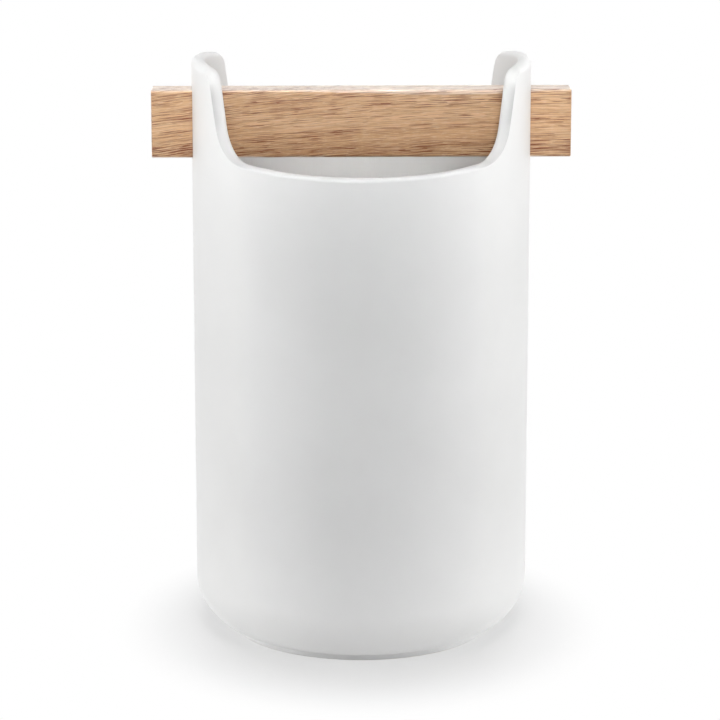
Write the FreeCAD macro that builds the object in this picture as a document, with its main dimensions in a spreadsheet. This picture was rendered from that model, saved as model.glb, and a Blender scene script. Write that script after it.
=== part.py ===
"""Utensil holder: a stoneware pot with two slotted ears, and an oak bar through them as its handle.

Millimetres and degrees. The origin is the middle of the circle that the pot stands on, +Z is up,
the handle runs along X and the front of the pot faces -Y.
"""

import FreeCAD
import Part
import Sketcher
import math
import os

# Sizes that can be set by themselves.
SIZES = {
    # Pot
    "rim_height": 167.8,  # table to the low rim between the ears
    "body_diameter": 115.0,  # outside of the pot
    "wall": 4.5,  # thickness of the pot's wall
    "lip_flat": 1.9,  # flat left between the two roundings of the wall's top edge
    "base_round": 18.0,  # outside radius where the wall turns into the base
    "floor_thickness": 5.0,  # thickness of the pot's floor
    # Foot ring
    "foot_reach": 4.75,  # how far the ring stands out under the base's curve
    "foot_width": 4.0,  # width of the ring
    "foot_height": 1.25,  # table to the underside within the ring
    "foot_edge_round": 0.4,  # softening of the ring's edges
    # Ears
    "ear_bridge": 10.0,  # ceramic left over each slot
    "ear_crown": 160.0,  # radius of an ear's arched top
    "ear_half_angle": 32.0,  # from the handle's line to an ear's side, at half the ear's height
    "ear_flare": 15.0,  # lean of an ear's side from upright
    "ear_corner": 6.5,  # radius of an ear's top corners
    "rim_blend": 15.0,  # radius of the hollow between an ear and the rim
    # Oak handle
    "handle_length": 142.0,
    "handle_width": 12.0,
    "handle_height": 23.0,
    "handle_edge_round": 0.6,
    # Slots that the handle slides in
    "sill_drop": 1.8,  # how far the slots' lower faces lie below the rim
    "slot_side_gap": 0.4,  # clearance on each side of the handle
    "slot_top_gap": 1.0,  # clearance over the handle
    "slot_edge_round": 0.8,  # softening of the slots' mouths
    # How far a cutting shape reaches past what it cuts
    "overrun": 10.0,
}

# Sizes that follow from them.
DERIVED = {
    "body_radius": "body_diameter / 2",
    "lip_round": "(wall - lip_flat) / 2",
    "inside_round": "base_round - wall",
    "base_centre_height": "foot_height + base_round",
    "floor_height": "foot_height + floor_thickness",
    "foot_radius": "body_radius - base_round + foot_reach",
    "handle_half_width": "handle_width / 2",
    "sill_height": "rim_height - sill_drop",
    "slot_half_width": "handle_half_width + slot_side_gap",
    "slot_height": "handle_height + slot_top_gap",
    "overall_height": "sill_height + slot_height + ear_bridge",
    "ear_middle_height": "(rim_height + overall_height) / 2",
    "ear_side_slope": "90 - ear_flare",
    "window_turn": "90 - ear_half_angle",
    "crown_centre_height": "overall_height - ear_crown",
    "blank_height": "overall_height + overrun",
    "window_top": "blank_height + overrun",
    "window_reach": "body_radius + overrun",
    "through_reach": "2 * window_reach",
}

# How a sketch's constraints number the points of a piece, and the sketch's own axes.
START, END, CENTRE = range(1, 4)
ACROSS_AXIS, UPRIGHT_AXIS = range(-1, -3, -1)
ORIGIN = (ACROSS_AXIS, START)

NEAR = 1e-4  # closeness at which two places count as the same
EDGE_SAMPLES = 5


def make_sheet(doc):
    """Keep every size in a sheet: the driving numbers, then the formulas that follow from them."""
    sheet = doc.addObject("Spreadsheet::Sheet", "sizes")
    rows = [(alias, str(value)) for alias, value in SIZES.items()]
    rows += [(alias, "=" + formula) for alias, formula in DERIVED.items()]
    for row, (alias, content) in enumerate(rows, start=1):
        sheet.set("A%d" % row, alias)
        sheet.set("B%d" % row, content)
        sheet.setAlias("B%d" % row, alias)
    doc.recompute()
    return sheet


def origin_plane(body, role):
    """One of a body's own origin planes."""
    return next(item for item in body.Origin.OriginFeatures if item.Role == role)


def new_sketch(body, name, role):
    """An empty sketch on one of its body's origin planes."""
    sketch = body.newObject("Sketcher::SketchObject", name)
    sketch.AttachmentSupport = (origin_plane(body, role), [""])
    sketch.MapMode = "FlatFace"
    return sketch


def tie(sketch, sheet, alias, kind, *places, name=None):
    """Add a dimension to a sketch and bind it to a size of the sheet."""
    value = getattr(sheet, alias)
    if kind == "Angle":
        value = math.radians(value)
    index = sketch.addConstraint(Sketcher.Constraint(kind, *places, value))
    sketch.renameConstraint(index, name or alias)
    sketch.setExpression("Constraints." + (name or alias), "sizes." + alias)


def draw_outline(sketch, start, steps):
    """Draw a closed outline and return, for each piece, its number, its first end and its last end.

    A step is (end,) for a straight line, or (end, centre, turn) for an arc, where turn is 1
    for anticlockwise and -1 for clockwise. Upright and level lines are held so, and two pieces
    that run smoothly into each other are held tangent.
    """
    pieces = []
    headings = []
    here = FreeCAD.Vector(*start)
    for end, *bend in steps:
        there = FreeCAD.Vector(*end)
        if bend:
            centre = FreeCAD.Vector(*bend[0])
            turn = bend[1]
            first, last = (here, there) if turn > 0 else (there, here)
            angles = [math.atan2(point.y - centre.y, point.x - centre.x) for point in (first, last)]
            circle = Part.Circle(centre, FreeCAD.Vector(0, 0, 1), (here - centre).Length)
            number = sketch.addGeometry(Part.ArcOfCircle(circle, *angles), False)
            pieces.append((number, START, END) if turn > 0 else (number, END, START))
            headings.append([FreeCAD.Vector(centre.y - p.y, p.x - centre.x) * turn for p in (here, there)])
        else:
            number = sketch.addGeometry(Part.LineSegment(here, there), False)
            pieces.append((number, START, END))
            headings.append([there - here, there - here])
            if abs(there.y - here.y) < NEAR:
                sketch.addConstraint(Sketcher.Constraint("Horizontal", number))
            elif abs(there.x - here.x) < NEAR:
                sketch.addConstraint(Sketcher.Constraint("Vertical", number))
        here = there
    following = pieces[1:] + pieces[:1]
    next_headings = headings[1:] + headings[:1]
    for piece, after, heading, next_heading in zip(pieces, following, headings, next_headings):
        smooth = heading[1].getAngle(next_heading[0]) < NEAR
        kind = "Tangent" if smooth else "Coincident"
        sketch.addConstraint(Sketcher.Constraint(kind, piece[0], piece[2], after[0], after[1]))
    return pieces


def edges_where(feature, test):
    """The names of a feature's edges whose sampled points pass a test, leaving out upright seams."""
    names = []
    for number, edge in enumerate(feature.Shape.Edges, start=1):
        points = edge.discretize(EDGE_SAMPLES)
        seam = all(math.hypot(p.x - points[0].x, p.y - points[0].y) < NEAR for p in points)
        if not seam and test(points):
            names.append("Edge%d" % number)
    return names


def round_edges(body, sheet, name, alias, test):
    """Round those edges of a body so far that pass a test, to a radius from the sheet."""
    base = body.Tip
    fillet = body.newObject("PartDesign::Fillet", name)
    fillet.Base = (base, edges_where(base, test))
    fillet.Radius = getattr(sheet, alias)
    fillet.setExpression("Radius", "sizes." + alias)
    body.Document.recompute()


def must_remove(before, body):
    """Stop if the last cut of a body took nothing away."""
    if body.Shape.Volume >= before - NEAR:
        raise RuntimeError(body.Tip.Label + " cuts nothing")


def turn_blank(body, sheet):
    """Turn the pot's section round its axis, with the wall carried up past the ears' tops."""
    centre = (sheet.body_radius - sheet.base_round, sheet.base_centre_height)
    inside = (sheet.body_radius - sheet.wall - sheet.inside_round, sheet.floor_height + sheet.inside_round)
    foot_inner = sheet.foot_radius - sheet.foot_width
    foot_top = centre[1] - math.sqrt(sheet.base_round**2 - sheet.foot_reach**2)
    sketch = new_sketch(body, "pot_section", "XZ_Plane")
    pieces = draw_outline(sketch, (0, sheet.foot_height), [
        ((foot_inner, sheet.foot_height),),
        ((foot_inner, 0),),
        ((sheet.foot_radius, 0),),
        ((sheet.foot_radius, foot_top),),
        ((sheet.body_radius, centre[1]), centre, 1),
        ((sheet.body_radius, sheet.blank_height),),
        ((sheet.body_radius - sheet.wall, sheet.blank_height),),
        ((sheet.body_radius - sheet.wall, inside[1]),),
        ((inside[0], sheet.floor_height), inside, -1),
        ((0, sheet.floor_height),),
        ((0, sheet.foot_height),),
    ])
    underside, _, foot, _, base, side, top, _, hollow, floor, _ = [piece[0] for piece in pieces]
    sketch.addConstraint(Sketcher.Constraint("PointOnObject", underside, START, UPRIGHT_AXIS))
    sketch.addConstraint(Sketcher.Constraint("PointOnObject", foot, START, ACROSS_AXIS))
    tie(sketch, sheet, "foot_height", "DistanceY", *ORIGIN, underside, START)
    tie(sketch, sheet, "foot_radius", "DistanceX", *ORIGIN, foot, END)
    tie(sketch, sheet, "foot_width", "DistanceX", foot, START, foot, END)
    tie(sketch, sheet, "base_round", "Radius", base)
    tie(sketch, sheet, "base_centre_height", "DistanceY", *ORIGIN, base, CENTRE)
    tie(sketch, sheet, "body_radius", "DistanceX", *ORIGIN, side, END)
    tie(sketch, sheet, "blank_height", "DistanceY", *ORIGIN, side, END)
    tie(sketch, sheet, "wall", "DistanceX", top, END, top, START)
    tie(sketch, sheet, "inside_round", "Radius", hollow)
    tie(sketch, sheet, "floor_height", "DistanceY", *ORIGIN, floor, START)
    blank = body.newObject("PartDesign::Revolution", "turned_blank")
    blank.Profile = sketch
    blank.ReferenceAxis = (sketch, ["V_Axis"])
    blank.Angle = 360
    body.Document.recompute()


def cut_windows(body, sheet):
    """Cut the wall down to the rim between the ears.

    The cutting outline stands at an ear's side, square to the wall there. It runs along the rim,
    up through the hollow and along the ear's leaning side. One quarter is cut, and mirrored front
    to back and side to side.
    """
    slope = math.radians(sheet.ear_side_slope)
    side_way = FreeCAD.Vector(math.cos(slope), math.sin(slope))
    level_way = FreeCAD.Vector(1, 0)
    up_way = FreeCAD.Vector(0, 1)
    low = FreeCAD.Vector((sheet.rim_height - sheet.ear_middle_height) / math.tan(slope), sheet.rim_height)
    side_top = (sheet.window_top - sheet.ear_middle_height) / math.tan(slope)
    hollow_run = sheet.rim_blend * math.tan(slope / 2)
    hollow_start = low - level_way * hollow_run
    hollow_end = low + side_way * hollow_run
    reach = sheet.window_reach
    sketch = new_sketch(body, "ear_window", "XZ_Plane")
    upright = FreeCAD.Rotation(up_way, sheet.window_turn)
    sketch.AttachmentOffset = FreeCAD.Placement(FreeCAD.Vector(), upright)
    sketch.setExpression("AttachmentOffset.Rotation.Angle", "sizes.window_turn")
    pieces = draw_outline(sketch, (-reach, sheet.rim_height), [
        (hollow_start,),
        (hollow_end, hollow_start + up_way * sheet.rim_blend, 1),
        ((side_top, sheet.window_top),),
        ((-reach, sheet.window_top),),
        ((-reach, sheet.rim_height),),
    ])
    rim, hollow, side, _, _ = [piece[0] for piece in pieces]
    middle = sketch.addGeometry(Part.Point(FreeCAD.Vector(0, sheet.ear_middle_height)), True)
    sketch.addConstraint(Sketcher.Constraint("PointOnObject", middle, START, UPRIGHT_AXIS))
    sketch.addConstraint(Sketcher.Constraint("PointOnObject", middle, START, side))
    tie(sketch, sheet, "ear_middle_height", "DistanceY", *ORIGIN, middle, START)
    tie(sketch, sheet, "rim_height", "DistanceY", *ORIGIN, rim, START)
    tie(sketch, sheet, "rim_blend", "Radius", hollow)
    tie(sketch, sheet, "ear_side_slope", "Angle", side)
    tie(sketch, sheet, "window_top", "DistanceY", *ORIGIN, side, END)
    tie(sketch, sheet, "window_reach", "DistanceX", rim, START, *ORIGIN)
    before = body.Shape.Volume
    window = body.newObject("PartDesign::Pocket", "quarter_window")
    window.Profile = sketch
    window.Reversed = True
    window.Length = reach
    window.setExpression("Length", "sizes.window_reach")
    body.Document.recompute()
    must_remove(before, body)
    before = body.Shape.Volume
    windows = body.newObject("PartDesign::MultiTransform", "four_windows")
    windows.Originals = [window]
    mirrors = []
    for name, role in (("front_to_back", "XZ_Plane"), ("side_to_side", "YZ_Plane")):
        mirror = body.newObject("PartDesign::Mirrored", name)
        mirror.MirrorPlane = (origin_plane(body, role), [""])
        mirrors.append(mirror)
    windows.Transformations = mirrors
    body.Tip = windows
    body.Document.recompute()
    must_remove(before, body)


def cut_through(body, sheet, name, sketch):
    """Cut an outline that is drawn across the handle's line through both ears."""
    before = body.Shape.Volume
    cut = body.newObject("PartDesign::Pocket", name)
    cut.Profile = sketch
    cut.SideType = "Symmetric"
    cut.Length = sheet.through_reach
    cut.setExpression("Length", "sizes.through_reach")
    body.Document.recompute()
    must_remove(before, body)


def cut_crowns(body, sheet):
    """Cut the tops of both ears to a shallow arch that is highest over the handle."""
    reach = sheet.window_reach
    low = sheet.crown_centre_height + math.sqrt(sheet.ear_crown**2 - reach**2)
    sketch = new_sketch(body, "crown_outline", "YZ_Plane")
    pieces = draw_outline(sketch, (reach, low), [
        ((reach, sheet.window_top),),
        ((-reach, sheet.window_top),),
        ((-reach, low),),
        ((reach, low), (0, sheet.crown_centre_height), -1),
    ])
    right, _, left, crown = [piece[0] for piece in pieces]
    sketch.addConstraint(Sketcher.Constraint("PointOnObject", crown, CENTRE, UPRIGHT_AXIS))
    tie(sketch, sheet, "crown_centre_height", "DistanceY", *ORIGIN, crown, CENTRE)
    tie(sketch, sheet, "ear_crown", "Radius", crown)
    tie(sketch, sheet, "window_top", "DistanceY", *ORIGIN, right, END)
    tie(sketch, sheet, "window_reach", "DistanceX", *ORIGIN, right, END)
    tie(sketch, sheet, "window_reach", "DistanceX", left, START, *ORIGIN, name="window_reach_back")
    cut_through(body, sheet, "ear_crowns", sketch)


def cut_slots(body, sheet):
    """Cut the handle's slot straight through both ears, with its corners rounded as the handle's are."""
    half = sheet.slot_half_width
    low = sheet.sill_height
    high = low + sheet.slot_height
    corner = sheet.handle_edge_round
    sketch = new_sketch(body, "slot_outline", "YZ_Plane")
    pieces = draw_outline(sketch, (corner - half, low), [
        ((half - corner, low),),
        ((half, low + corner), (half - corner, low + corner), 1),
        ((half, high - corner),),
        ((half - corner, high), (half - corner, high - corner), 1),
        ((corner - half, high),),
        ((-half, high - corner), (corner - half, high - corner), 1),
        ((-half, low + corner),),
        ((corner - half, low), (corner - half, low + corner), 1),
    ])
    sill, first_corner, right, *_ = [piece[0] for piece in pieces]
    top, left = pieces[4][0], pieces[6][0]
    for other in pieces[3::2]:
        sketch.addConstraint(Sketcher.Constraint("Equal", first_corner, other[0]))
    tie(sketch, sheet, "handle_edge_round", "Radius", first_corner)
    tie(sketch, sheet, "sill_height", "DistanceY", *ORIGIN, sill, START)
    tie(sketch, sheet, "slot_height", "DistanceY", sill, START, top, START)
    tie(sketch, sheet, "slot_half_width", "DistanceX", *ORIGIN, right, START)
    tie(sketch, sheet, "slot_half_width", "DistanceX", left, START, *ORIGIN, name="slot_half_width_back")
    cut_through(body, sheet, "handle_slots", sketch)


def make_pot(doc, sheet):
    """The pot: a turned shell on a foot ring, cut down between its two ears, with a slot in each ear."""
    body = doc.addObject("PartDesign::Body", "ceramic_pot")

    def on_wall(point):
        radius = math.hypot(point.x, point.y)
        inner = sheet.body_radius - sheet.wall
        return abs(radius - sheet.body_radius) < NEAR or abs(radius - inner) < NEAR

    def ear_corner(points):
        crosses_wall = not any(on_wall(point) for point in points[1:-1])
        return crosses_wall and all(point.z > sheet.ear_middle_height for point in points)

    def lip(points):
        return all(on_wall(point) and point.z > sheet.rim_height - NEAR for point in points)

    def slot_mouth(points):
        top = sheet.sill_height + sheet.slot_height
        level = all(sheet.sill_height - NEAR < point.z < top + NEAR for point in points)
        narrow = all(abs(point.y) < sheet.slot_half_width + NEAR for point in points)
        return level and narrow and all(on_wall(point) for point in points)

    def foot(points):
        return all(abs(point.z) < NEAR for point in points)

    turn_blank(body, sheet)
    cut_windows(body, sheet)
    cut_crowns(body, sheet)
    round_edges(body, sheet, "soft_ear_corners", "ear_corner", ear_corner)
    round_edges(body, sheet, "soft_lip", "lip_round", lip)
    cut_slots(body, sheet)
    round_edges(body, sheet, "soft_slots", "slot_edge_round", slot_mouth)
    round_edges(body, sheet, "soft_foot", "foot_edge_round", foot)
    return body


def make_handle(doc, sheet):
    """The handle: a straight oak bar with softened edges, lying on the slots' lower faces."""
    body = doc.addObject("PartDesign::Body", "oak_handle")
    half = sheet.handle_half_width
    low = sheet.sill_height
    high = low + sheet.handle_height
    sketch = new_sketch(body, "bar_section", "YZ_Plane")
    corners = [(half, low), (half, high), (-half, high), (-half, low)]
    pieces = draw_outline(sketch, corners[-1], [(corner,) for corner in corners])
    under, right, top, left = [piece[0] for piece in pieces]
    tie(sketch, sheet, "sill_height", "DistanceY", *ORIGIN, under, START)
    tie(sketch, sheet, "handle_height", "DistanceY", under, START, top, START)
    tie(sketch, sheet, "handle_half_width", "DistanceX", *ORIGIN, right, START)
    tie(sketch, sheet, "handle_half_width", "DistanceX", left, START, *ORIGIN, name="handle_half_back")
    bar = body.newObject("PartDesign::Pad", "bar")
    bar.Profile = sketch
    bar.SideType = "Symmetric"
    bar.Length = sheet.handle_length
    bar.setExpression("Length", "sizes.handle_length")
    doc.recompute()
    soft = body.newObject("PartDesign::Fillet", "soft_edges")
    soft.Base = (bar, ["Edge%d" % number for number in range(1, len(bar.Shape.Edges) + 1)])
    soft.Radius = sheet.handle_edge_round
    soft.setExpression("Radius", "sizes.handle_edge_round")
    return body


def check(doc, bodies):
    """Stop if anything failed, a sketch is left loose, or a piece isn't one sound solid."""
    for item in doc.Objects:
        if {"Invalid", "Error"} & set(item.State):
            raise RuntimeError(item.Label + " failed")
        if item.TypeId == "Sketcher::SketchObject" and not item.FullyConstrained:
            raise RuntimeError(item.Label + " is not fully constrained")
    for body in bodies:
        shape = body.Shape
        if shape.isNull() or not shape.isValid() or len(shape.Solids) != 1:
            raise RuntimeError(body.Label + " is not one sound solid")


def main():
    doc = FreeCAD.newDocument("utensil_holder")
    sheet = make_sheet(doc)
    bodies = [make_pot(doc, sheet), make_handle(doc, sheet)]
    doc.recompute()
    check(doc, bodies)
    os.makedirs("parts", exist_ok=True)
    for body in bodies:
        body.Shape.exportStep(os.path.join("parts", body.Label + ".step"))
        box = body.Shape.BoundBox
        spans = (box.XMin, box.XMax, box.YMin, box.YMax, box.ZMin, box.ZMax)
        print(body.Label, "volume %.1f" % body.Shape.Volume, ["%.2f" % value for value in spans])
    shared = bodies[0].Shape.common(bodies[1].Shape).Volume
    print("shared volume %.4f" % shared)


main()
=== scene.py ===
"""Looks of the utensil holder: a satin white pot with two slotted ears, and the oak bar through them.

Sizes of the pieces are in millimetres until a mesh is made, then in metres as the frame is. Patterns,
lamps and the camera are in metres. The pot stands on the origin, the bar runs along X and the front
faces -Y.
"""

import math

import bpy
import numpy as np
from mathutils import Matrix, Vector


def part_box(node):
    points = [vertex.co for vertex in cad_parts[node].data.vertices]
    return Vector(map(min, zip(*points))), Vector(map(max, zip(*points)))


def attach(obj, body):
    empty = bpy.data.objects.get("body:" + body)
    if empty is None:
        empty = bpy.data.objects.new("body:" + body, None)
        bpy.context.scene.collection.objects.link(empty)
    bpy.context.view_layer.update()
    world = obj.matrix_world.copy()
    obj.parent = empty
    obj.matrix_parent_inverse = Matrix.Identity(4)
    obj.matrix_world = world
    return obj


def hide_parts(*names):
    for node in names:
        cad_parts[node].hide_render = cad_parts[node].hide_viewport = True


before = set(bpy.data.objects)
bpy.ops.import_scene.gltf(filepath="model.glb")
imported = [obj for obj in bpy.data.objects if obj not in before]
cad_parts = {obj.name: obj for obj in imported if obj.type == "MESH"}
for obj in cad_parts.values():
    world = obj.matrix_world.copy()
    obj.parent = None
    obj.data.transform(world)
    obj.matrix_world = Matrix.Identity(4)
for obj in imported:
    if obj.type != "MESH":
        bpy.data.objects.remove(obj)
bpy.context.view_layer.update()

MM = 0.001

# Sizes that the frame gives
pot_high = np.array(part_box("ceramic_pot")[1]) / MM
bar_low, bar_high = (np.array(corner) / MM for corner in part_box("oak_handle"))
BODY_RADIUS = pot_high[0]
EAR_TOP = pot_high[2]
BAR_HALF_LENGTH, BAR_HALF_WIDTH, BAR_TOP = bar_high
BAR_BOTTOM = bar_low[2]

# Pot
WALL = 4.5
INNER_RADIUS = BODY_RADIUS - WALL
MIDDLE_RADIUS = BODY_RADIUS - WALL / 2
RIM_LOW = 167.05  # height of the rim at the middle of the front and back
RIM_SWEEP = 440.0  # radius at which the rim climbs from there, unrolled
BASE_ROUND = 18.0
BASE_CENTRE = BODY_RADIUS - BASE_ROUND  # distance of the base's rounding from the axis
FLOOR_THICKNESS = 5.0
FOOT_RADIUS = 44.25
FOOT_WIDTH = 4.0
FOOT_HEIGHT = 1.25
FOOT_SOFT = 0.4
GLAZE_FILLET = 0.3  # where the glaze fills a sharp inside corner
FILLET_REACH = 1.2 * GLAZE_FILLET  # how far up the base's rounding the foot's fillet goes
EAR_MIDDLE = 184.25  # height at which the ears' half angle is taken
EAR_HALF_ANGLE = math.radians(32.0)
EAR_FLARE = math.radians(15.0)
EAR_CROWN = 172.0  # radius of an ear's arched top, unrolled
EAR_CORNER = 6.5
RIM_BLEND = 15.0
# The wall's top edge over the ears' tops, down their sides and along the rim: its outer rounding, its
# inner rounding, and half the angle of the arc between them
CROWN_EDGE = (2.5, 1.6, math.radians(8.0))
SIDE_EDGE = (0.3, 0.8, math.radians(38.0))
RIM_EDGE = (1.3, 1.5, math.radians(8.0))
# Painted shade, a dark line along the lip's outer edge: how much of it on an ear's top, corner, side and
# hollow and on the rim, and across the lip
PAINTED_SHADE_PARTS = (0.0, 0.2, 1.0, 0.65, 0.0)
EDGE_SHADE_TURNS = np.radians([-80.0, -50.0, -30.0, 15.0])
EDGE_SHADE_SHARES = (0.0, 1.0, 0.8, 0.0)

# Slots in the ears
SLOT_SIDE_GAP = 0.4
SLOT_TOP_GAP = 1.0
SLOT_CORNER = 1.0
SLOT_SOFT = 0.8
SLOT_HALF = BAR_HALF_WIDTH + SLOT_SIDE_GAP
SLOT_TOP = BAR_TOP + SLOT_TOP_GAP

# Bar
BAR_SOFT = 0.4  # rounding of its ends
BAR_CORNER = 0.8  # rounding of its long edges
CAP_SHARES = (0.05, 0.4, 0.8)  # sizes of the rings that close an end

# How finely the pieces are drawn: points of each stretch, and rows or columns of each grid
PANEL_HALF = 12.5  # half the width of the panel of wall that holds a slot, unrolled
PANEL_COLUMNS = 10  # in that half width
PANEL_ROWS = 20  # of the upper rows, those that the panel takes
PANEL_SHARES = np.linspace(0, 1, 9)[1:-1] ** 0.8  # ways from the panel's edge to the slot's mouth
SHOULDER = 158.0  # height at which the upper wall's rows begin
UPPER_ROWS = 22
SKIRT_DROP = 2.6  # depth below the lip's roundings at which those rows end
SUPPORT_DROPS = np.array([[1.2], [0.4]])  # depths of the rows just below the roundings
CENTRE_RINGS = (2.0, 20.0)  # radii of the rings near the axis, under the pot and on its floor
FOOT_RING_GAP = 2.0  # from the last ring under the pot to the foot ring
CROWN_POINTS = 10
CORNER_POINTS = 14
SIDE_POINTS = 12
HOLLOW_POINTS = 18
RIM_POINTS = 20
UNDER_POINTS = 4
FOOT_POINTS = 5
BASE_POINTS = 30
WALL_POINTS = 30
INSIDE_WALL_POINTS = 24
INSIDE_ROUND_POINTS = 18
LIP_STEPS = 8
EDGE_EASING = 15  # points of the outline over which the edge changes
EDGE_SHADE_EASING = 7  # the same for the painted edge shade
SLOT_CORNER_POINTS = 24
MOUTH_STEPS = 7
BAR_CORNER_POINTS = 8
BAR_FLAT_POINTS = 8
BAR_END_STEPS = 7
BAR_RINGS = 40

# Glaze: its colours, and how strongly the painted edge shade and the specks show
GLAZE_DULL = (0.855, 0.855, 0.85)
GLAZE_BRIGHT = (0.885, 0.885, 0.88)
# painted shade: the darker colour of the line along the lip's outer edge
GLAZE_SHADED = (0.50, 0.50, 0.497)
EDGE_SHADE_STRENGTH = 0.9
SPECK_BROWN = (0.23, 0.19, 0.16)
SPECK_STRENGTH = 0.75
CLAY_DULL = (0.66, 0.63, 0.58)
CLAY_BRIGHT = (0.75, 0.73, 0.69)
# Its patterns: cells in a metre, then how many finer layers there are and how strong they are
CLOUDS = (22.0, 3.0, 0.6)
GRIT = (1500.0, 2.0, 0.7)
SATIN = (140.0, 3.0, 0.5)
WAVES = (34.0, 1.0, 0.5)
PEEL = (620.0, 2.0, 0.5)
CLOUD_LEVELS = (0.3, 0.7)
GRIT_LEVELS = (0.35, 0.65)
# Its relief: height, and strength
WAVE_RELIEF = (0.0001, 0.5)
PEEL_RELIEF = (0.00004, 0.5)
GRIT_RELIEF = (0.0001, 0.6)
SPECK_CELLS = 62.0
SPECK_ONSET = (0.62, 0.64)  # random numbers of a cell from which it has a speck
SPECK_LARGEST = 0.022  # radius in cells
SPECK_BLUR = 0.004
SOLE = (0.0003, 0.0001)  # heights between which the glaze gives way to bare clay
GLAZE_ROUGHNESS = 0.42
SATIN_ROUGHNESS = 0.1  # more of it with the satin pattern
CLAY_ROUGHNESS = 0.35  # more of it on bare clay
GLAZE_GLOSS = 0.45

# Oak: its colours, and how strongly each layer shows
OAK_LIGHT = (0.725, 0.455, 0.243)
OAK_DEEP = (0.605, 0.346, 0.165)
OAK_LOWER = (0.375, 0.182, 0.069)
LOWER_STRENGTH = 0.55
STREAK_DARK = (0.39, 0.193, 0.084)
STREAK_DARK_STRENGTH = 0.42
STREAK_PALE = (0.76, 0.54, 0.335)
STREAK_PALE_STRENGTH = 0.45
FIBRE_PALE = (0.77, 0.58, 0.39)
FIBRE_STRENGTH = 0.5
PORE_DARK = (0.215, 0.046, 0.002)
END_LIGHT = (0.60, 0.38, 0.23)
END_DEEP = (0.47, 0.28, 0.16)
END_STRENGTH = 0.85
DOT_DARK = (0.24, 0.12, 0.06)
DOT_STRENGTH = 0.7
# Pale colours of worn edges; on the top face they are also painted sheen and light from above
WEAR_AND_SHEEN_LIGHT = (1.0, 0.93, 0.85)
WEAR_AND_SHEEN_DEEP = (0.86, 0.68, 0.53)
LOW_RUB_STRENGTH = 0.6
# top face and edge: wear and painted sheen from the light above
TOP_SHEEN_AND_WEAR_STRENGTH = 0.6
TOP_SHEEN_AND_WEAR_PORES = 0.4  # less of it in a pore
SANDED_STRENGTH = 0.4
SANDED_PORES = 0.2  # less of it in a pore
# Its patterns: cells in a metre along the bar, across it and up it, then finer layers as in the glaze
SWAY = ((28.0, 40.0, 60.0), 2.0, 0.5)
BROAD = ((16.0, 120.0, 230.0), 3.0, 0.6)
BANDS = ((9.0, 200.0, 420.0), 2.0, 0.5)
STREAKS = ((40.0, 900.0, 2100.0), 2.0, 0.7)
FIBRES = ((300.0, 3000.0, 4200.0), 2.0, 0.7)
LONG_PORES = ((75.0, 1500.0, 3500.0), 0.0, 0.5)
SHORT_PORES = ((160.0, 2200.0, 4100.0), 0.0, 0.5)
SHORT_PORE_MOVE = (0.1, 0.0, 0.0)
DOTS = ((300.0, 1500.0, 1500.0), 2.0, 0.5)
RINGS = ((30.0, 60.0, 520.0), 1.0, 0.5)
RING_TURN = (0.5, 0, 0)
# Values of a pattern between which a layer goes from none to full
BROAD_LEVELS = (0.3, 0.7)
BAND_LEVELS = (0.38, 0.6)
STREAK_DARK_LEVELS = (0.5, 0.70)
STREAK_PALE_LEVELS = (0.5, 0.34)
FIBRE_LEVELS = (0.5, 0.64)
PORE_LEVELS = (0.60, 0.64)
DOT_LEVELS = (0.52, 0.66)
RING_LEVELS = (0.35, 0.65)
WEAR_AND_SHEEN_LEVELS = (0.48, 0.64)
# Shares of the pores that show: anywhere, and more in the bands, in the lower band and under the top edge
PORES_ANYWHERE = 0.25
PORES_IN_BANDS = 0.45
PORES_LOWER = 0.45
PORES_UPPER = 0.3
# The grain's climb, and how far the broad patterns sway the bands
GRAIN_SLOPE = 0.06
GRAIN_CURVE = 0.45
GRAIN_SWAY = 0.0016
BAND_SWAY = 0.004
# Bands on the bar, in millimetres from its bottom, top or ends: where each begins and where it is full
LOWER_BAND = (8.5, 1.0)
UPPER_BAND = (6.0, 1.5)
LOW_RUB = (0.5, 0.15)
# the top face and edge, worn pale and with painted sheen from the light above
TOP_SHEEN_AND_WEAR = (0.45, 0.1)
SANDED_BAND = (0.5, 0.2)
SANDED_LIMIT = (0.5, 0.1)  # where the top edge ends the sanded band
END_BAND = (0.4, 0.15)
RAGGED = 0.0014  # how far the streaks fray a rubbed edge
SANDED_DEPTH = 0.0014  # how much wider the sanded band is at its widest
SANDED_START = (-0.035, 0.03)  # places along the bar between which it widens
SANDED_END = (0.07, 0.035)  # and narrows again
OAK_ROUGHNESS = 0.36
STREAK_ROUGHNESS = 0.14  # more of it on a streak
PORE_ROUGHNESS = 0.2  # more of it in a pore
OAK_GLOSS = 0.5
OIL_COAT = 0.7
OIL_ROUGHNESS = 0.3
# Its relief: height and strength, and the shares that the streaks, fibres and pores have in it
OAK_RELIEF = (0.0002, 0.7)
STREAK_HEIGHT = 0.35
FIBRE_HEIGHT = 0.15
PORE_DEPTH = 0.8

# Stage
WHITE = (1.0, 1.0, 1.0, 1.0)
FILL = 0.02
FLOOR_REACH = 30.0
FLOOR_GREY = (0.86, 0.86, 0.86, 1.0)
FLOOR_ROUGHNESS = 0.15
FLOOR_GLOSS = 0.25
FLOOR_SHARE = 0.48  # of an even level in the floor near the pot, as the camera sees it
FLOOR_LEVEL = 0.77
CONTACT_SHARE = 0.3  # more of that level close round the foot: painted light that lifts the contact shadow there
CONTACT_FADE = (0.056, 0.046)
SHADOW_FADE = (0.05, 0.105)
SHADOW_SHAPE = 1.44
MIDDLE = (0, 0, EAR_TOP * MM / 2)
FOOT_AIM = (0, 0, -0.07)
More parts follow.
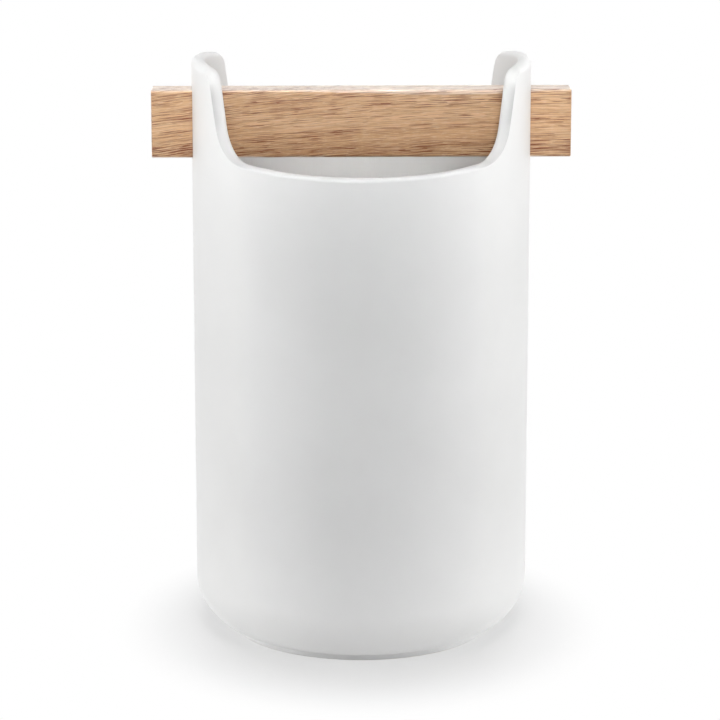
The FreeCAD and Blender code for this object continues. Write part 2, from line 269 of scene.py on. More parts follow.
# Lamps: name, place, target, width and height, watts, and the angle in degrees that holds the light
LAMPS = (
    ("left_box", (-1.1, 0.01, 0.2), MIDDLE, (0.7, 0.36), 4.8, 180),
    ("right_box", (1.1, 0.01, 0.2), MIDDLE, (0.7, 0.36), 5.3, 180),
    ("left_rear_box", (-1.0, 0.5, 0.3), MIDDLE, (0.6, 0.55), 0.9, 180),
    ("right_rear_box", (1.0, 0.5, 0.3), MIDDLE, (0.6, 0.55), 0.9, 180),
    ("rear_box", (0, 1.15, 0.12), MIDDLE, (0.7, 0.2), 1.6, 180),
    ("top_box", (0, -0.1, 1.3), MIDDLE, (0.9, 0.9), 3.0, 180),
    ("front_box", (0, -0.8, 1.1), MIDDLE, (0.9, 0.6), 4.1, 180),
    ("rim_box", (0, -0.85, 1.15), (0, 0, 0.21), (0.4, 0.3), 0.185, 24),
    ("inside_box", (0, -0.75, 1.2), (0, 0.05, 0.15), (0.04, 0.03), 0.0035, 4.5),
    ("bar_box", (0, -1.15, 0.5), (0, 0, 0.192), (0.5, 0.03), 0.026, 6),
    ("left_foot_box", (-1.0, -0.6, 0.05), FOOT_AIM, (0.5, 0.08), 0.062, 10),
    ("right_foot_box", (1.0, -0.6, 0.05), FOOT_AIM, (0.5, 0.08), 0.066, 10),
)

# Camera, from the photograph
CAMERA_REACH = 1.030
CAMERA_HEIGHT = 0.329
CAMERA_SIDE = -0.0004
CAMERA_TURN = math.radians(-1.1)
CAMERA_PITCH = math.radians(12.84)
LENS = 152.7
SENSOR = 36.0


# Meshes

def arc(centre, radius, start, end, count):
    """Points of an arc in a plane, from one angle to another."""
    angles = np.linspace(start, end, count)
    return np.stack([centre[0] + radius * np.cos(angles), centre[1] + radius * np.sin(angles)], axis=1)


def rounded_corner(before, corner, after, radius, count):
    """The arc of a given radius that touches both straight lines of a corner."""
    before, corner, after = (np.asarray(point, float) for point in (before, corner, after))
    back = (before - corner) / np.linalg.norm(before - corner)
    ahead = (after - corner) / np.linalg.norm(after - corner)
    half = math.acos(np.clip(back @ ahead, -1, 1)) / 2
    middle = (back + ahead) / np.linalg.norm(back + ahead)
    centre = corner + middle * radius / math.sin(half)
    first, last = (corner + way * radius / math.tan(half) - centre for way in (back, ahead))
    start = math.atan2(first[1], first[0])
    turn = math.atan2(first[0] * last[1] - first[1] * last[0], first @ last)
    return arc(centre, radius, start, start + turn, count)


def make_piece(name, points, faces, material, body, node, edge_shade=None):
    """Put points and faces, in millimetres, into a smooth mesh that stands for a CAD node.

    Points that share a place are welded. The share of painted edge shade at each goes into an attribute.
    """
    keys, first, place = np.unique(np.round(points, 5), axis=0, return_index=True, return_inverse=True)
    place = place.reshape(-1)
    mesh = bpy.data.meshes.new(name)
    mesh.from_pydata((keys * MM).tolist(), [], sum((place[group].tolist() for group in faces), []))
    mesh.polygons.foreach_set("use_smooth", np.ones(len(mesh.polygons), bool))
    if edge_shade is not None:
        attribute = mesh.attributes.new("painted_edge_shade", "FLOAT", "POINT")
        attribute.data.foreach_set("value", edge_shade[first].astype(np.float32))
    mesh.materials.append(material)
    mesh.update()
    piece = bpy.data.objects.new(name, mesh)
    bpy.context.scene.collection.objects.link(piece)
    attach(piece, body)
    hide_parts(node)


def grid_numbers(grid, start=0):
    """Numbers of a grid's points, row by row."""
    return start + np.arange(grid.shape[0] * grid.shape[1]).reshape(grid.shape[:2])


def grid_faces(numbers):
    """Quads between the neighbouring rows of a grid of point numbers, closed round each row."""
    across = np.roll(numbers, -1, axis=1)
    return np.stack([numbers[:-1], across[:-1], across[1:], numbers[1:]], axis=-1)


def fan(pole, ring):
    """Triangles from one point's number to each side of a closed ring of numbers."""
    return np.stack([np.full(len(ring), pole), ring, np.roll(ring, -1)], axis=1)


def lip_outline():
    """A quarter of the wall's top edge, unrolled at the middle of the wall: distance along, and height.

    It starts on top of an ear's middle and follows the arched top, the corner, the leaning side, the
    hollow and the sweep of the rim to the middle of the front. Each blend is the arc that touches both
    of its neighbours: its centre lies at its radius from the side's line, and at the difference of the
    radii from the other arc's centre. Returns the points, the unit direction into the clay at each, the
    edge's outer rounding, inner rounding and half angle there, and the share of painted edge shade.
    """
    side = np.array([math.sin(EAR_FLARE), -math.cos(EAR_FLARE)])
    clay = np.array([-math.cos(EAR_FLARE), -math.sin(EAR_FLARE)])
    start = np.array([MIDDLE_RADIUS * EAR_HALF_ANGLE, EAR_MIDDLE])
    crown_centre = np.array([0, EAR_TOP - EAR_CROWN])
    rim_centre = np.array([MIDDLE_RADIUS * math.pi / 2, RIM_LOW + RIM_SWEEP])

    def blend_centre(shift, large_centre, difference, way):
        """Where the side's line, shifted, lies at the difference of radii from a large arc's centre."""
        offset = start + shift - large_centre
        along = offset @ side
        step = way * math.sqrt(along**2 - offset @ offset + difference**2) - along
        return start + shift + side * step

    corner_centre = blend_centre(clay * EAR_CORNER, crown_centre, EAR_CROWN - EAR_CORNER, -1)
    hollow_centre = blend_centre(-clay * RIM_BLEND, rim_centre, RIM_SWEEP - RIM_BLEND, 1)
    lean = corner_centre - crown_centre
    crown_end = math.atan2(lean[1], lean[0])
    drop = hollow_centre - rim_centre
    rim_start = math.atan2(drop[1], drop[0]) + 2 * math.pi
    panel_edge = math.pi / 2 - PANEL_HALF / EAR_CROWN
    crown = np.concatenate([
        arc(crown_centre, EAR_CROWN, math.pi / 2, panel_edge, PANEL_COLUMNS + 1),
        arc(crown_centre, EAR_CROWN, panel_edge, crown_end, CROWN_POINTS)[1:],
    ])
    corner = arc(corner_centre, EAR_CORNER, crown_end, EAR_FLARE, CORNER_POINTS)[1:]
    hollow = arc(hollow_centre, RIM_BLEND, math.pi + EAR_FLARE, rim_start, HOLLOW_POINTS)
    shares = np.linspace(0, 1, SIDE_POINTS)[1:-1, None]
    straight = corner[-1] * (1 - shares) + hollow[0] * shares
    rim = arc(rim_centre, RIM_SWEEP, rim_start, 1.5 * math.pi, RIM_POINTS)[1:]
    inward = np.concatenate([
        (crown_centre - crown) / EAR_CROWN,
        (corner_centre - corner) / EAR_CORNER,
        np.repeat(clay[None], len(straight), axis=0),
        (hollow - hollow_centre) / RIM_BLEND,
        (rim - rim_centre) / RIM_SWEEP,
    ])
    parts = (crown, corner, straight, hollow, rim)
    lengths = [len(part) for part in parts]

    def eased(values, reach):
        """One value for each part of the outline, with a gradual change over a reach of points."""
        window = np.hanning(reach)
        padded = np.pad(np.repeat(values, lengths), reach // 2, mode="edge")
        return np.convolve(padded, window / window.sum(), mode="valid")

    edge = [eased((top, down, down, down, low), EDGE_EASING)
            for top, down, low in zip(CROWN_EDGE, SIDE_EDGE, RIM_EDGE)]
    return np.concatenate(parts), inward, edge, eased(PAINTED_SHADE_PARTS, EDGE_SHADE_EASING)


def outside_section():
    """Radius and height from the underside over the foot ring and the rounded base to the shoulder.

    The base is an arc that touches the wall. The foot ring's outside meets it where the arc's distance
    from the axis is the foot's radius.
    """
    foot_inner = FOOT_RADIUS - FOOT_WIDTH
    base_centre = (BASE_CENTRE, FOOT_HEIGHT + BASE_ROUND)
    meeting = math.asin((FOOT_RADIUS - BASE_CENTRE) / BASE_ROUND)
    foot_top = base_centre[1] - BASE_ROUND * math.cos(meeting)
    up_base = (FOOT_RADIUS + math.cos(meeting), foot_top + math.sin(meeting))
    under = (foot_inner, FOOT_HEIGHT)
    inner_sole = (foot_inner, 0)
    outer_sole = (FOOT_RADIUS, 0)
    crease = (FOOT_RADIUS, foot_top)
    base_start = meeting + FILLET_REACH / BASE_ROUND - math.pi / 2
    wall = np.linspace(base_centre[1], SHOULDER, WALL_POINTS)[1:]
    return np.concatenate([
        [(radius, FOOT_HEIGHT) for radius in (*CENTRE_RINGS, foot_inner - FOOT_RING_GAP)],
        rounded_corner((0, FOOT_HEIGHT), under, inner_sole, GLAZE_FILLET, UNDER_POINTS),
        rounded_corner(under, inner_sole, outer_sole, FOOT_SOFT, FOOT_POINTS),
        rounded_corner(inner_sole, outer_sole, crease, FOOT_SOFT, FOOT_POINTS),
        rounded_corner(outer_sole, crease, up_base, GLAZE_FILLET, FOOT_POINTS),
        arc(base_centre, BASE_ROUND, base_start, 0, BASE_POINTS),
        np.stack([np.full_like(wall, BODY_RADIUS), wall], axis=1),
    ])


def inside_section():
    """Radius and height from the shoulder down the inside and over its rounded corner to the floor."""
    floor_height = FOOT_HEIGHT + FLOOR_THICKNESS
    inside_round = BASE_ROUND - WALL
    centre = (BASE_CENTRE, floor_height + inside_round)
    wall = np.linspace(SHOULDER, centre[1], INSIDE_WALL_POINTS)[:-1]
    return np.concatenate([
        np.stack([np.full_like(wall, INNER_RADIUS), wall], axis=1),
        arc(centre, inside_round, 0, -math.pi / 2, INSIDE_ROUND_POINTS),
        [(radius, floor_height) for radius in CENTRE_RINGS[::-1]],
    ])


def all_round(quarter):
    """A quarter's values carried round the pot, mirrored at each end."""
    half = np.concatenate([quarter, quarter[..., -2:0:-1]], axis=-1)
    return np.concatenate([half, half], axis=-1)


def polar_rows(radius, angle, height):
    """Rows of points as radius, angle and height round the pot."""
    return np.stack(np.broadcast_arrays(radius, angle, height), axis=-1)


def pot_rows():
    """Every row of the pot's skin, from the middle of its underside up the outside and down the inside.

    A row is radius, angle and height round the pot. Below the shoulder the rows are circles of a
    turned section. Above it they climb to the lip's outline, which is carried over the wall's top by
    three arcs that touch: an outer one, a broad one between them and an inner one. At turn t from the
    outline's normal, the broad arc lies at m + R sin(t) across the wall and R - R cos(t) below the
    outline, and the others touch it at the half angle h: s (R - r) sin(h) + r sin(t) from m, and
    R - (R - r) cos(h) - r cos(t) below, with s -1 outside and 1 inside. R is such that they fill the wall.
    Returns the rows, their share of painted edge shade, and the numbers of the two rows at the shoulder.
    """
    points, inward, (outer_round, inner_round, half), edge_shade = lip_outline()
    reach = (outer_round + inner_round) * (1 - np.sin(half))
    broad_round = (WALL - reach) / (2 * np.sin(half))
    broad_middle = outer_round + (broad_round - outer_round) * np.sin(half)

    def lip_arc(radius, side, turn):
        """Distance across the wall from its outside, and depth below the outline."""
        across = broad_middle + side * (broad_round - radius) * np.sin(half) + radius * np.sin(turn)
        return across, broad_round - (broad_round - radius) * np.cos(half) - radius * np.cos(turn)

    def lip_rows(depth):
        """Angles and heights of the outline moved into the clay by each row's depths, all round the pot."""
        along, height = np.moveaxis(points + inward * depth[..., None], -1, 0)
        quarter = along / MIDDLE_RADIUS
        half_round = np.concatenate([quarter, math.pi - quarter[..., -2:0:-1]], axis=-1)
        return np.concatenate([half_round, half_round + math.pi], axis=-1), all_round(height)

    outer_depth = lip_arc(outer_round, -1, -math.pi / 2)[1]
    inner_depth = lip_arc(inner_round, 1, math.pi / 2)[1]
    skirt_angle, skirt_height = lip_rows(np.maximum(outer_depth, inner_depth) + SKIRT_DROP)
    climb = SHOULDER + np.linspace(0, 1, UPPER_ROWS + 1)[1:, None] * (skirt_height - SHOULDER)
    steps = np.linspace(0, 1, LIP_STEPS)[:, None]
    arcs = (
        (outer_round, -1, steps * (math.pi / 2 - half) - math.pi / 2),
        (broad_round, 0, (2 * steps[1:-1] - 1) * half),
        (inner_round, 1, half + steps * (math.pi / 2 - half)),
    )
    across, depth = (np.concatenate(part) for part in zip(*(lip_arc(*each) for each in arcs)))
    turns = np.concatenate([turn for _, _, turn in arcs])
    outside = outside_section()
    inside = inside_section()
    rising = np.concatenate([
        polar_rows(outside[:, :1], skirt_angle, outside[:, 1:]),
        polar_rows(BODY_RADIUS, skirt_angle, climb),
        polar_rows(BODY_RADIUS, *lip_rows(outer_depth + SUPPORT_DROPS)),
    ])
    lip = polar_rows(BODY_RADIUS - all_round(across), *lip_rows(depth))
    falling = np.concatenate([
        polar_rows(INNER_RADIUS, *lip_rows(inner_depth + SUPPORT_DROPS[::-1])),
        polar_rows(INNER_RADIUS, skirt_angle, climb[::-1]),
        polar_rows(inside[:, :1], skirt_angle, inside[:, 1:]),
    ])
    rows = np.concatenate([rising, lip, falling])
    edge_shaded = np.zeros(rows.shape[:2])
    # painted shade along the lip's outer edge, strongest on the ears' sides
    edge_shaded[len(rising):len(rising) + len(lip)] = all_round(edge_shade * np.interp(turns, EDGE_SHADE_TURNS, EDGE_SHADE_SHARES))
    return rows, edge_shaded, len(outside) - 1, len(rows) - len(inside)


def slot_loop(offset, counts):
    """Points round the slot's outline, moved outwards by an offset, in the plane across the bar.

    The outline is a rounded rectangle. Each of its four sides, from corner to corner, holds a set
    count of points that lie closer together towards the corners: share (1 - cos(pi t)) / 2.
    """
    radius = SLOT_CORNER + offset
    low = np.array([-SLOT_HALF - offset, BAR_BOTTOM - offset]) + radius
    high = np.array([SLOT_HALF + offset, SLOT_TOP + offset]) - radius
    centres = [(low[0], low[1]), (high[0], low[1]), (high[0], high[1]), (low[0], high[1])]
    turns = [math.pi, 1.5 * math.pi, 2 * math.pi, 2.5 * math.pi]
    halves = [(arc(centre, radius, turn, turn + math.pi / 4, SLOT_CORNER_POINTS),
               arc(centre, radius, turn + math.pi / 4, turn + math.pi / 2, SLOT_CORNER_POINTS))
              for centre, turn in zip(centres, turns)]
    loop = []
    for side, count in enumerate(counts):
        path = np.concatenate([halves[side][1], halves[(side + 1) % 4][0]])
        run = np.concatenate([[0], np.cumsum(np.linalg.norm(np.diff(path, axis=0), axis=1))])
        share = (1 - np.cos(math.pi * np.arange(count) / count)) / 2
        loop.append(np.stack([np.interp(share * run[-1], run, path[:, k]) for k in range(2)], axis=1))
    return np.concatenate(loop)


def slot_panel(outer_edge, inner_edge, counts):
    """A slot's panel: a grid whose rows go round the slot.

    They run from the edge of the panel on the outer wall to the slot's mouth, round the mouth's softened
    edge, through the ear, and out to the edge of the panel on the inner wall. A mouth is softened by an
    arc: at turn t the outline is r - r sin(t) larger and lies r - r cos(t) into the wall.
    """
    def on_wall(flat, wall_radius, sunk):
        """Points of the plane across the bar, put on the wall and sunk into it along the bar."""
        across = np.sqrt(wall_radius**2 - flat[:, 0] ** 2) + sunk
        return np.concatenate([across[:, None], flat], axis=1)

    def mouth_rows(wall_radius, way, turns):
        """The softened edge of a mouth."""
        return [on_wall(slot_loop(SLOT_SOFT * (1 - math.sin(turn)), counts), wall_radius,
                        way * SLOT_SOFT * (1 - math.cos(turn))) for turn in turns]

    def wall_rows(edge, wall_radius, shares):
        """Rows between the panel's edge and the mouth."""
        return [on_wall(edge[:, 1:] * (1 - share) + mouth * share, wall_radius, 0) for share in shares]

    mouth = slot_loop(SLOT_SOFT, counts)
    turns = np.linspace(0, math.pi / 2, MOUTH_STEPS)
    return np.array([
        outer_edge,
        *wall_rows(outer_edge, BODY_RADIUS, PANEL_SHARES),
        *mouth_rows(BODY_RADIUS, -1, turns),
        *mouth_rows(INNER_RADIUS, 1, turns[::-1]),
        *wall_rows(inner_edge, INNER_RADIUS, PANEL_SHARES[::-1]),
        inner_edge,
    ])


def make_pot(material):
    """The pot's whole skin: the rows round it, a fan at each pole, and a panel with its slot in each ear."""
    rows, edge_shade, outer_start, inner_start = pot_rows()
    radius, angle, height = np.moveaxis(rows, 2, 0)
    skin = np.stack([radius * np.cos(angle), radius * np.sin(angle), height], axis=-1)
    count = skin.shape[1]
    numbers = grid_numbers(skin)
    quads = grid_faces(numbers)
    keep = np.ones(quads.shape[:2], bool)
    columns = np.arange(-PANEL_COLUMNS, PANEL_COLUMNS + 1)
    outer_rows = outer_start + np.arange(PANEL_ROWS + 1)
    inner_rows = inner_start - np.arange(PANEL_ROWS + 1)
    for ear in (0, count // 2):
        block = (columns[:-1] + ear) % count
        keep[np.ix_(outer_rows[:-1], block)] = False
        keep[np.ix_(inner_rows[1:], block)] = False
    # Row and column of each point round a panel's edge: along its foot, up, back along its top and down
    edge_row, edge_column = np.concatenate([
        np.stack([np.zeros_like(columns[:-1]), columns[:-1]], axis=1),
        np.stack([np.arange(PANEL_ROWS), np.full(PANEL_ROWS, PANEL_COLUMNS)], axis=1),
        np.stack([np.full_like(columns[1:], PANEL_ROWS), columns[:0:-1]], axis=1),
        np.stack([np.arange(PANEL_ROWS, 0, -1), np.full(PANEL_ROWS, -PANEL_COLUMNS)], axis=1),
    ]).T
    outer_edge, inner_edge = (skin[side[edge_row], edge_column % count] for side in (outer_rows, inner_rows))
    panel = slot_panel(outer_edge, inner_edge, (2 * PANEL_COLUMNS, PANEL_ROWS) * 2)
    right_panel = panel.reshape(-1, 3)
    left_panel = right_panel * (-1, -1, 1)
    poles = [(0, 0, height[0, 0]), (0, 0, height[-1, 0])]
    points = np.concatenate([skin.reshape(-1, 3), right_panel, left_panel, poles])
    faces = [quads[keep]]
    for start in (numbers.size, numbers.size + len(right_panel)):
        faces.append(grid_faces(grid_numbers(panel, start)).reshape(-1, 4))
    faces += [fan(len(points) - 2, numbers[0, ::-1]), fan(len(points) - 1, numbers[-1])]
    edge_shade = np.concatenate([edge_shade.reshape(-1), np.zeros(len(points) - edge_shade.size)])
    make_piece("white_pot", points, faces, material, "pot", "ceramic_pot", edge_shade)


def make_bar(material):
    """The oak bar: a rounded rectangle carried along X, with rounded ends closed by shrinking rings.

    Near an end the section is moved inwards by r - r cos(t) while x runs out by r sin(t).
    """
    middle = (BAR_BOTTOM + BAR_TOP) / 2
    shares = np.linspace(0, 1, BAR_FLAT_POINTS)[1:-1, None]

    def section(inset):
        """The rounded rectangle moved inwards: four corners, and points along the flats between them."""
        y, z = BAR_HALF_WIDTH - BAR_CORNER, BAR_TOP - middle - BAR_CORNER
        corners = [((y, -z), -0.5), ((y, z), 0.0), ((-y, z), 0.5), ((-y, -z), 1.0)]
        rounds = [arc(centre, BAR_CORNER - inset, turn * math.pi, (turn + 0.5) * math.pi, BAR_CORNER_POINTS)
                  for centre, turn in corners]
        loop = []
        for corner, after in zip(rounds, rounds[1:] + rounds[:1]):
            loop += [corner, corner[-1] * (1 - shares) + after[0] * shares]
        return np.concatenate(loop)

    def ring(x, flat):
        """A section put at a place along the bar."""
        return np.concatenate([np.full((len(flat), 1), x), flat + (0, middle)], axis=1)

    straight = BAR_HALF_LENGTH - BAR_SOFT
    end = [(straight + BAR_SOFT * math.sin(turn), BAR_SOFT * (1 - math.cos(turn)))
           for turn in np.linspace(math.pi / 2, 0, BAR_END_STEPS)]
    cap = section(BAR_SOFT)
    rings = [ring(-BAR_HALF_LENGTH, cap * share) for share in CAP_SHARES]
    rings += [ring(-x, section(inset)) for x, inset in end]
    rings += [ring(x, section(0)) for x in np.linspace(-straight, straight, BAR_RINGS)[1:-1]]
    rings += [ring(x, section(inset)) for x, inset in end[::-1]]
    rings += [ring(BAR_HALF_LENGTH, cap * share) for share in CAP_SHARES[::-1]]
    rings = np.array(rings)
    numbers = grid_numbers(rings)
    poles = [(-BAR_HALF_LENGTH, 0, middle), (BAR_HALF_LENGTH, 0, middle)]
    points = np.concatenate([rings.reshape(-1, 3), poles])
    quads = grid_faces(numbers).reshape(-1, 4)
    left = fan(len(points) - 2, numbers[0, ::-1])
    right = fan(len(points) - 1, numbers[-1])
    make_piece("oak_bar", points, [quads, left, right], material, "handle", "oak_handle")


# Materials

class Socket:
    """A shader socket that takes part in Python arithmetic by adding Math nodes to its tree."""

    def __init__(self, tree, socket=None):
        self.tree = tree
        self.socket = socket

    def add(self, kind, settings=None, inputs=None, output=0):
        """Add a node: its settings first, then its sockets' values or links. Returns one of its outputs."""
        node = self.tree.nodes.new(kind)
        for name, value in (settings or {}).items():
            setattr(node, name, value)
        for key, value in (inputs or {}).items():
            if isinstance(value, Socket):
                self.tree.links.new(value.socket, node.inputs[key])
            else:
                node.inputs[key].default_value = value
        return Socket(self.tree, node.outputs[output])

    def beside(self, output):
        """Another output of the same node."""
        return Socket(self.tree, self.socket.node.outputs[output])

    def math(self, operation, *values):
        """A Math node on some values."""
        return self.add("ShaderNodeMath", {"operation": operation}, dict(enumerate(values)))

    def __add__(self, other):
        return self.math("ADD", self, other)

    def __radd__(self, other):
        return self.math("ADD", other, self)

    def __sub__(self, other):
        return self.math("SUBTRACT", self, other)

    def __rsub__(self, other):
        return self.math("SUBTRACT", other, self)

    def __mul__(self, other):
        return self.math("MULTIPLY", self, other)

    def __rmul__(self, other):
        return self.math("MULTIPLY", other, self)

    def __pow__(self, other):
        return self.math("POWER", self, other)

    def __rpow__(self, other):
        return self.math("POWER", other, self)


def smooth(value, low, high):
    """0 below low, 1 above high, and an S-curve between them. It falls where low is above high."""
    return value.add("ShaderNodeMapRange", {"interpolation_type": "SMOOTHSTEP"},
                     {"Value": value, "From Min": low, "From Max": high})


def mix(share, first, second):
    """A colour that goes from first to second."""
    settings = {"data_type": "RGBA", "clamp_factor": True}
    inputs = {0: share}
    for key, colour in ((6, first), (7, second)):
        inputs[key] = colour if isinstance(colour, Socket) else (*colour, 1.0)
    return share.add("ShaderNodeMix", settings, inputs, output=2)


def noise(place, scale, detail, roughness):
    """Soft noise from 0 to 1, about 0.5 on average."""
    inputs = {"Vector": place, "Scale": scale, "Detail": detail, "Roughness": roughness}
    return place.add("ShaderNodeTexNoise", None, inputs)


def long_noise(place, pattern, turn=(0, 0, 0), move=(0, 0, 0)):
    """Noise with its own count of cells in a metre along each axis, for patterns that run along a piece."""
    cells, detail, roughness = pattern
    scale = tuple(1 / part for part in cells)
    inputs = {"Vector": place, "Location": move, "Rotation": turn, "Scale": scale}
    stretched = place.add("ShaderNodeMapping", {"vector_type": "TEXTURE"}, inputs)
    return noise(stretched, 1.0, detail, roughness)


def new_material(name):
    """A material, its Principled shader, and the place on the object as a vector and as x, y and z."""
    material = bpy.data.materials.new(name)
    material.use_nodes = True
    tree = material.node_tree
    place = Socket(tree).add("ShaderNodeTexCoord", output="Object")
    x = place.add("ShaderNodeSeparateXYZ", None, {0: place})
    return material, tree.nodes["Principled BSDF"], place, (x, x.beside("Y"), x.beside("Z"))


def link(value, shader, name):
    """Lead a value into a shader's socket."""
    value.tree.links.new(value.socket, shader.inputs[name])


def bump(height, distance, strength, normal=None):
    """A surface normal tilted by a height that is in units of distance, in metres."""
    inputs = {"Height": height, "Distance": distance, "Strength": strength}
    if normal is not None:
        inputs["Normal"] = normal
    return height.add("ShaderNodeBump", None, inputs)


def white_glaze():
    """Satin white glaze: faintly clouded, a few dark specks, painted shade along the ears' sides, and a bare
    sole.

    A speck lies in the middle of a cell, and the cell's own random number says whether and how large.
    """
    material, shader, place, (_, _, height) = new_material("white_glaze")
    colour = mix(smooth(noise(place, *CLOUDS), *CLOUD_LEVELS), GLAZE_DULL, GLAZE_BRIGHT)
    # painted shade: a darker line along the lip's outer edge on the ears' sides
    edge_shade = place.add("ShaderNodeAttribute", {"attribute_name": "painted_edge_shade"}, output="Fac")
    colour = mix(edge_shade * EDGE_SHADE_STRENGTH, colour, GLAZE_SHADED)
    inputs = {"Vector": place, "Scale": SPECK_CELLS, "Randomness": 1.0}
    distance = place.add("ShaderNodeTexVoronoi", None, inputs)
    pick = place.add("ShaderNodeSeparateColor", None, {0: distance.beside("Color")})
    size = smooth(pick, SPECK_ONSET[0], 1.0) * SPECK_LARGEST
    speck = smooth(distance - size, SPECK_BLUR, -SPECK_BLUR) * smooth(pick, *SPECK_ONSET)
    colour = mix(speck * SPECK_STRENGTH, colour, SPECK_BROWN)
    bare = smooth(height, *SOLE)
    grit = noise(place, *GRIT)
    colour = mix(bare, colour, mix(smooth(grit, *GRIT_LEVELS), CLAY_DULL, CLAY_BRIGHT))
    link(colour, shader, "Base Color")
    roughness = GLAZE_ROUGHNESS + SATIN_ROUGHNESS * noise(place, *SATIN) + CLAY_ROUGHNESS * bare
    link(roughness, shader, "Roughness")
    shader.inputs["Specular IOR Level"].default_value = GLAZE_GLOSS
    waves = bump(noise(place, *WAVES), *WAVE_RELIEF)
    peel = bump(noise(place, *PEEL), *PEEL_RELIEF, waves)
    link(bump(grit * bare, *GRIT_RELIEF, peel), shader, "Normal")
    return material


def above_bottom(value, band):
    """1 at the bar's bottom, fading out upwards over a band."""
    return smooth(value, *(MM * (BAR_BOTTOM + height) for height in band))


def below_top(value, band):
    """1 at the bar's top, fading out downwards over a band."""
    return smooth(value, *(MM * (BAR_TOP - depth) for depth in band))


def oak():
    """Oiled oak: streaks and pores that climb gently, a darker lower band, and pores as dots on the ends.

    Pores gather in the bands, in the lower band and under the top edge. The long edges are rubbed pale,
    and the top face is paler still as painted sheen from the light above; a sanded band under the top
    edge is widest to the right of the middle. A clear coat of oil lies over it all. The grain's height is
    z - a x + b x^2 with a little sway, so that the streaks rise at the left and level out at the right.
    """
    material, shader, place, (x, y, z) = new_material("oak")
    grain_height = z - GRAIN_SLOPE * x + GRAIN_CURVE * (x * x) + GRAIN_SWAY * long_noise(place, SWAY)
    grain = place.add("ShaderNodeCombineXYZ", None, {0: x, 1: y, 2: grain_height})
    broad, bands, streak, fibre = (long_noise(grain, pattern) for pattern in (BROAD, BANDS, STREAKS, FIBRES))
    lower = above_bottom(z + BAND_SWAY * (broad - 0.5), LOWER_BAND)
    upper = below_top(z + BAND_SWAY * (bands - 0.5), UPPER_BAND)
    colour = mix(smooth(broad, *BROAD_LEVELS), OAK_LIGHT, OAK_DEEP)
    colour = mix(lower * LOWER_STRENGTH, colour, OAK_LOWER)
    colour = mix(smooth(streak, *STREAK_DARK_LEVELS) * STREAK_DARK_STRENGTH, colour, STREAK_DARK)
    colour = mix(smooth(streak, *STREAK_PALE_LEVELS) * STREAK_PALE_STRENGTH, colour, STREAK_PALE)
    colour = mix(smooth(fibre, *FIBRE_LEVELS) * FIBRE_STRENGTH, colour, FIBRE_PALE)
    gathered = PORES_ANYWHERE + PORES_IN_BANDS * smooth(bands, *BAND_LEVELS)
    gathered = gathered + PORES_LOWER * lower + PORES_UPPER * upper
    long_pores = smooth(long_noise(grain, LONG_PORES), *PORE_LEVELS)
    short_pores = smooth(long_noise(grain, SHORT_PORES, move=SHORT_PORE_MOVE), *PORE_LEVELS)
    pore = (long_pores + short_pores) * gathered
    colour = mix(pore, colour, PORE_DARK)

    end = smooth(x * x, *((MM * (BAR_HALF_LENGTH - depth)) ** 2 for depth in END_BAND))
    rings = smooth(long_noise(place, RINGS, turn=RING_TURN), *RING_LEVELS)
    dots = smooth(long_noise(place, DOTS), *DOT_LEVELS)
    end_colour = mix(dots * DOT_STRENGTH, mix(rings, END_LIGHT, END_DEEP), DOT_DARK)
    colour = mix(end * END_STRENGTH, colour, end_colour)

    ragged = RAGGED * (streak - 0.5)
    wear_and_sheen = mix(smooth(streak, *WEAR_AND_SHEEN_LEVELS), WEAR_AND_SHEEN_LIGHT, WEAR_AND_SHEEN_DEEP)
    widened = SANDED_DEPTH * smooth(x, *SANDED_START) * smooth(x, *SANDED_END)
    sanded = below_top(z + ragged + widened, SANDED_BAND) - below_top(z, SANDED_LIMIT)
    # painted sheen with wear: the top face and its edge paled as light from above and grazing sheen would
    # make them
    top_sheen_and_wear = below_top(z + 0.5 * ragged, TOP_SHEEN_AND_WEAR)
    low_edge = above_bottom(z + ragged, LOW_RUB)
    colour = mix(sanded * (SANDED_STRENGTH - SANDED_PORES * pore), colour, wear_and_sheen)
    colour = mix(top_sheen_and_wear * (TOP_SHEEN_AND_WEAR_STRENGTH - TOP_SHEEN_AND_WEAR_PORES * pore), colour, wear_and_sheen)
    colour = mix(low_edge * LOW_RUB_STRENGTH, colour, wear_and_sheen)
    link(colour, shader, "Base Color")
    link(OAK_ROUGHNESS + STREAK_ROUGHNESS * streak + PORE_ROUGHNESS * pore, shader, "Roughness")
    shader.inputs["Specular IOR Level"].default_value = OAK_GLOSS
    shader.inputs["Coat Weight"].default_value = OIL_COAT
    shader.inputs["Coat Roughness"].default_value = OIL_ROUGHNESS
    relief = STREAK_HEIGHT * streak + FIBRE_HEIGHT * fibre - PORE_DEPTH * pore
    link(bump(relief, *OAK_RELIEF), shader, "Normal")
    return material


# Stage

def seen_rays(tree):
    """1 for the rays that show the background: the camera's, and those that gloss or clear pieces turn."""
    camera = Socket(tree).add("ShaderNodeLightPath", output="Is Camera Ray")
    glossy = camera.beside("Is Glossy Ray")
    through = camera.beside("Is Transmission Ray")
    return camera.math("MAXIMUM", camera, camera.math("MAXIMUM", glossy, through))


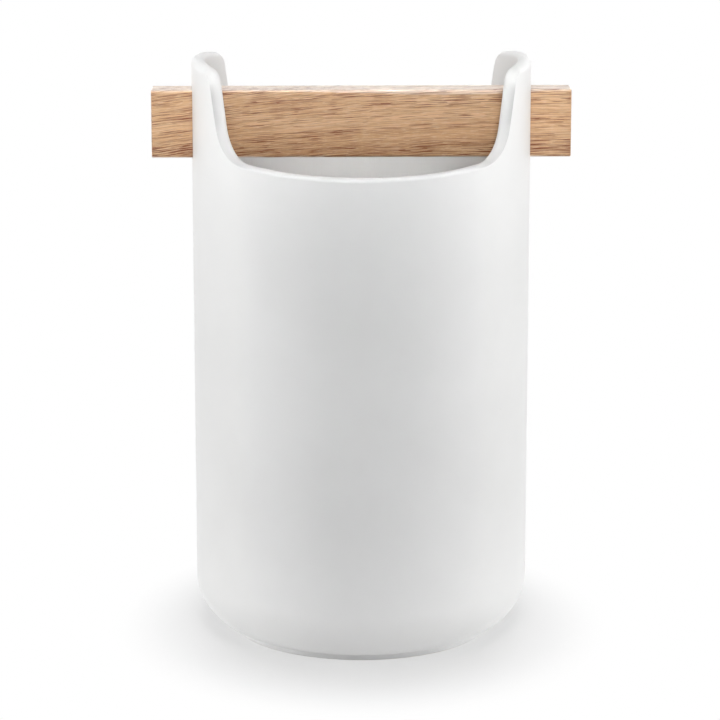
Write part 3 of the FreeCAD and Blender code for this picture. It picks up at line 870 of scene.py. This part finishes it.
def make_floor():
    """A wide pale floor that keeps the shadow near the pot and reads white further out."""
    mesh = bpy.data.meshes.new("floor")
    corners = FLOOR_REACH * np.array([(-1, -1, 0), (1, -1, 0), (1, 1, 0), (-1, 1, 0)])
    mesh.from_pydata(corners.tolist(), [], [(0, 1, 2, 3)])
    material, shader, place, (x, y, _) = new_material("pale_floor")
    shader.inputs["Base Color"].default_value = FLOOR_GREY
    shader.inputs["Roughness"].default_value = FLOOR_ROUGHNESS
    shader.inputs["Specular IOR Level"].default_value = FLOOR_GLOSS
    even, plain = (place.add("ShaderNodeEmission", None, {"Color": WHITE, "Strength": level})
                   for level in (FLOOR_LEVEL, 1.0))
    surface = Socket(place.tree, shader.outputs["BSDF"])
    # painted light: the even level rises close round the foot and lifts the contact shadow as the camera
    # sees it
    share = FLOOR_SHARE + CONTACT_SHARE * smooth((x * x + y * y) ** 0.5, *CONTACT_FADE)
    near = place.add("ShaderNodeMixShader", None, {0: share, 1: surface, 2: even})
    away = smooth((SHADOW_SHAPE * (x * x) + y * y) ** 0.5, *SHADOW_FADE)
    shown = place.add("ShaderNodeMixShader", None, {0: away, 1: near, 2: plain})
    shown = place.add("ShaderNodeMixShader", None, {0: seen_rays(place.tree), 1: surface, 2: shown})
    link(shown, place.tree.nodes["Material Output"], "Surface")
    mesh.materials.append(material)
    floor = bpy.data.objects.new("floor", mesh)
    bpy.context.scene.collection.objects.link(floor)


def make_world():
    """White behind everything, and an even grey light from all round."""
    world = bpy.data.worlds.new("studio")
    bpy.context.scene.world = world
    world.use_nodes = True
    background = world.node_tree.nodes["Background"]
    background.inputs["Color"].default_value = WHITE
    link(FILL + (1.0 - FILL) * seen_rays(world.node_tree), background, "Strength")


def make_lamp(name, place, target, size, watts, spread):
    """A rectangular soft box that faces a target, with its light kept within an angle in degrees."""
    lamp = bpy.data.lights.new(name, "AREA")
    lamp.shape = "RECTANGLE"
    lamp.size, lamp.size_y = size
    lamp.energy = watts
    lamp.spread = math.radians(spread)
    box = bpy.data.objects.new(name, lamp)
    way = np.array(target) - np.array(place)
    flat = math.hypot(way[0], way[1])
    box.location = place
    box.rotation_euler = (math.atan2(flat, -way[2]), 0, math.atan2(way[1], way[0]) - math.pi / 2)
    bpy.context.scene.collection.objects.link(box)


def make_camera():
    """The camera at the photograph's viewing angle."""
    lens = bpy.data.cameras.new("camera")
    lens.lens = LENS
    lens.sensor_width = SENSOR
    camera = bpy.data.objects.new("camera", lens)
    camera.location = (CAMERA_SIDE + CAMERA_REACH * math.sin(CAMERA_TURN),
                       -CAMERA_REACH * math.cos(CAMERA_TURN), CAMERA_HEIGHT)
    camera.rotation_euler = (math.pi / 2 - CAMERA_PITCH, 0, CAMERA_TURN)
    bpy.context.scene.collection.objects.link(camera)
    bpy.context.scene.camera = camera


make_pot(white_glaze())
make_bar(oak())
make_floor()
make_world()
for lamp in LAMPS:
    make_lamp(*lamp)
make_camera()
bpy.context.scene.view_settings.view_transform = "Standard"
